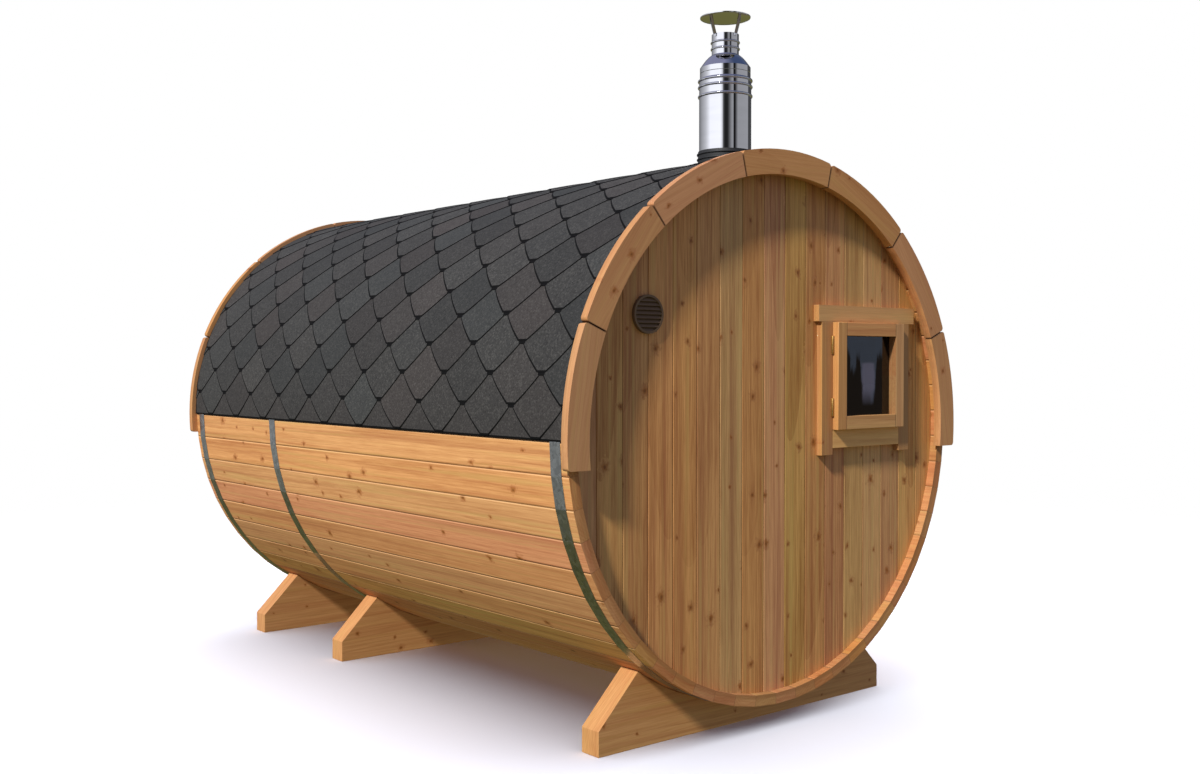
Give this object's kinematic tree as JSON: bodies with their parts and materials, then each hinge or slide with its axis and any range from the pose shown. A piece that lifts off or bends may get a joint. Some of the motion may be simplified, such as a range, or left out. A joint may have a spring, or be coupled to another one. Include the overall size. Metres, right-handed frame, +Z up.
{
  "type": "barrel sauna",
  "caption": "Garden sauna built as a wooden barrel lying on cradles, with steel bands, a shingled top, a casement window and a flue.",
  "frame": {"origin": "on the ground, under the middle of the barrel", "axes": "+Y along the barrel from the window end to the door end, +X to the right when facing the window end, +Z up"},
  "size_m": [2.156, 3.1886, 2.8192],
  "materials": {
    "stave_wood": "planed spruce with a clear glaze",
    "board_wood": "planed spruce boards with a clear glaze",
    "trim_wood": "planed spruce with a clear glaze",
    "sash_wood": "planed spruce with a clear glaze",
    "window_glass": "clear double glazing",
    "shingle": "mineral granules on bitumen",
    "galvanised_steel": "dulled galvanised band",
    "stainless_steel": "polished stainless sheet",
    "flashing_rubber": "matt black rubber",
    "vent_plastic": "dark brown moulded plastic",
    "hinge_brass": "aged bronze"
  },
  "bodies": {
    "root": {"chimney_boot": "flashing_rubber", "chimney_cap": "stainless_steel", "chimney_neck": "stainless_steel", "chimney_pipe": "stainless_steel", "door_casings": "trim_wood", "door_end_band": "galvanised_steel", "door_end_cradle": "trim_wood", "door_end_fascia": "trim_wood", "door_end_wall_left": "board_wood", "door_end_wall_middle": "board_wood", "door_end_wall_right": "board_wood", "door_handles": "trim_wood", "door_hinges": "hinge_brass", "door_leaf_boards": "board_wood", "door_ledges": "trim_wood", "door_lining": "trim_wood", "middle_band": "galvanised_steel", "middle_cradle": "trim_wood", "roof_left_slope": "shingle", "roof_right_slope": "shingle", "staves_1": "stave_wood", "staves_2": "stave_wood", "staves_3": "stave_wood", "staves_4": "stave_wood", "staves_5": "stave_wood", "staves_6": "stave_wood", "staves_7": "stave_wood", "staves_at_flue": "stave_wood", "vent_grille": "vent_plastic", "window_apron": "trim_wood", "window_end_band": "galvanised_steel", "window_end_cradle": "trim_wood", "window_end_fascia": "trim_wood", "window_end_wall_left": "board_wood", "window_end_wall_right": "board_wood", "window_header": "trim_wood", "window_hinges": "hinge_brass", "window_lining": "trim_wood", "window_pane": "window_glass", "window_sash": "sash_wood", "window_side_casings": "trim_wood"}
  },
  "joints": []
}
